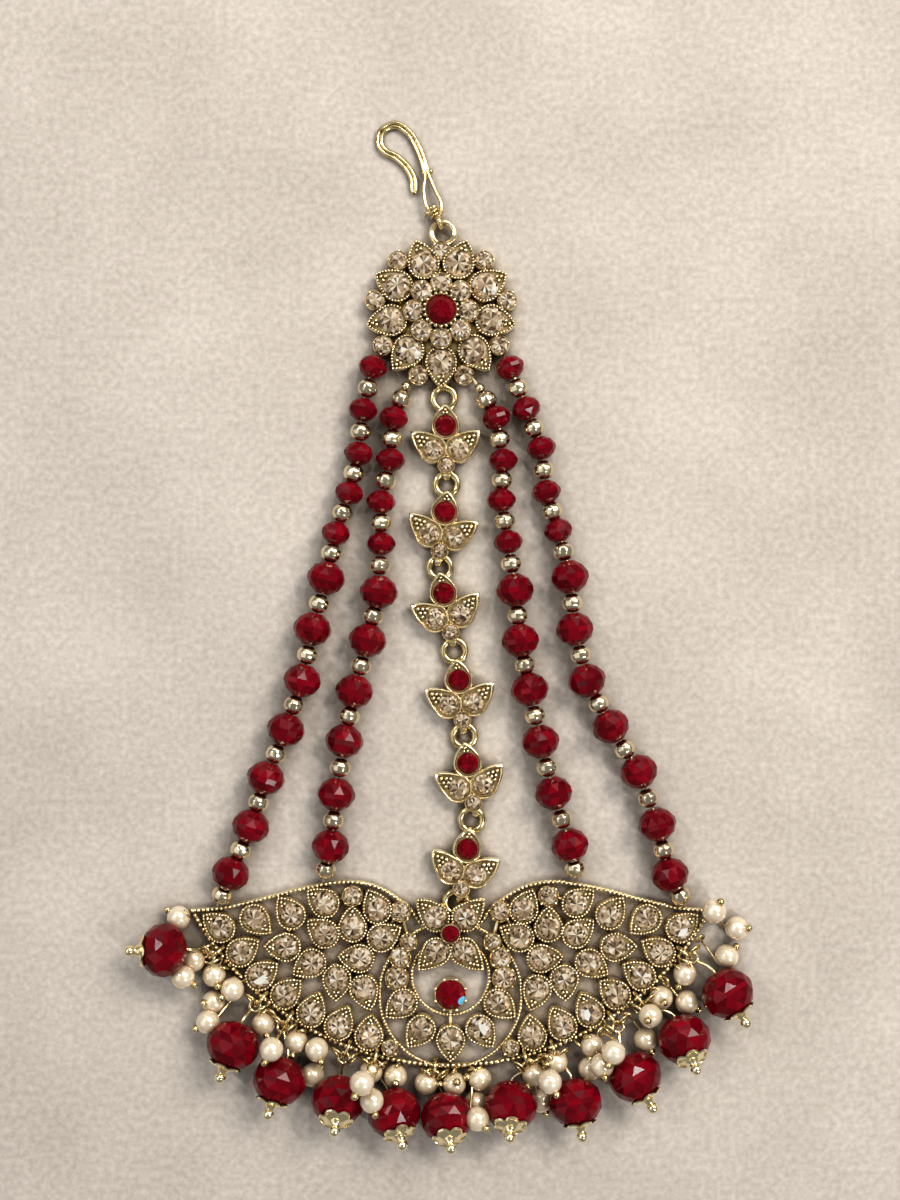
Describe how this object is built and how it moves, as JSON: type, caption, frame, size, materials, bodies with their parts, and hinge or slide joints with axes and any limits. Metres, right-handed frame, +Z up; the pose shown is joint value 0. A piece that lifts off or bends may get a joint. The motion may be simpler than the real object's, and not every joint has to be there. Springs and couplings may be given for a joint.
{
  "type": "jhoomar head ornament",
  "caption": "Gold jhoomar head ornament: a pierced, stone-set crescent with a fringe of red drops, hung by bead strings and a leaf-link chain from a flower medallion with a wire hair hook.",
  "frame": {"origin": "on the flat back under the middle of the crescent's rosette, in the plane of the surface that the ornament lies on", "axes": "+Y runs from the crescent to the hair hook, +X to the viewer's right with the stones facing up, +Z up off the surface"},
  "size_m": [0.099, 0.1646, 0.0086],
  "materials": {
    "antique_gold": "antique gold plate, bright on the raised edges and darkened in the recesses",
    "bright_gold": "polished gold plate on drawn wire",
    "red_glass": "deep red cut glass, glossy",
    "champagne_glass": "foil-backed champagne cut glass",
    "pearl": "cream imitation pearl with a soft lustre"
  },
  "bodies": {
    "ornament": {"medallion": "antique_gold", "crescent_plate": "antique_gold", "chain_ring_1": "bright_gold", "chain_ring_2": "bright_gold", "chain_ring_3": "bright_gold", "chain_ring_4": "bright_gold", "chain_ring_5": "bright_gold", "chain_ring_6": "bright_gold", "chain_ring_7": "bright_gold", "leaf_link_1": "antique_gold", "leaf_link_2": "antique_gold", "leaf_link_3": "antique_gold", "leaf_link_4": "antique_gold", "leaf_link_5": "antique_gold", "leaf_link_6": "antique_gold", "string_outer_left": "red_glass", "string_inner_left": "red_glass", "string_inner_right": "red_glass", "string_outer_right": "red_glass", "fringe_ring_01": "bright_gold", "fringe_drop_01": "red_glass", "fringe_ring_02": "bright_gold", "fringe_drop_02": "red_glass", "fringe_ring_03": "bright_gold", "fringe_drop_03": "red_glass", "fringe_ring_04": "bright_gold", "fringe_drop_04": "red_glass", "fringe_ring_05": "bright_gold", "fringe_drop_05": "red_glass", "fringe_ring_06": "bright_gold", "fringe_drop_06": "red_glass", "fringe_ring_07": "bright_gold", "fringe_drop_07": "red_glass", "fringe_ring_08": "bright_gold", "fringe_drop_08": "red_glass", "fringe_ring_09": "bright_gold", "fringe_drop_09": "red_glass", "fringe_ring_10": "bright_gold", "fringe_drop_10": "red_glass", "fringe_ring_11": "bright_gold", "fringe_drop_11": "red_glass"},
    "hook": {"hair_hook": "bright_gold"}
  },
  "joints": [
    {"name": "hook_swing", "type": "hinge", "parent": "ornament", "child": "hook", "pos_m": [-0.0012, 0.1119, 0.00155], "axis": [0, 0, 1], "range_deg": [-80, 40]}
  ]
}
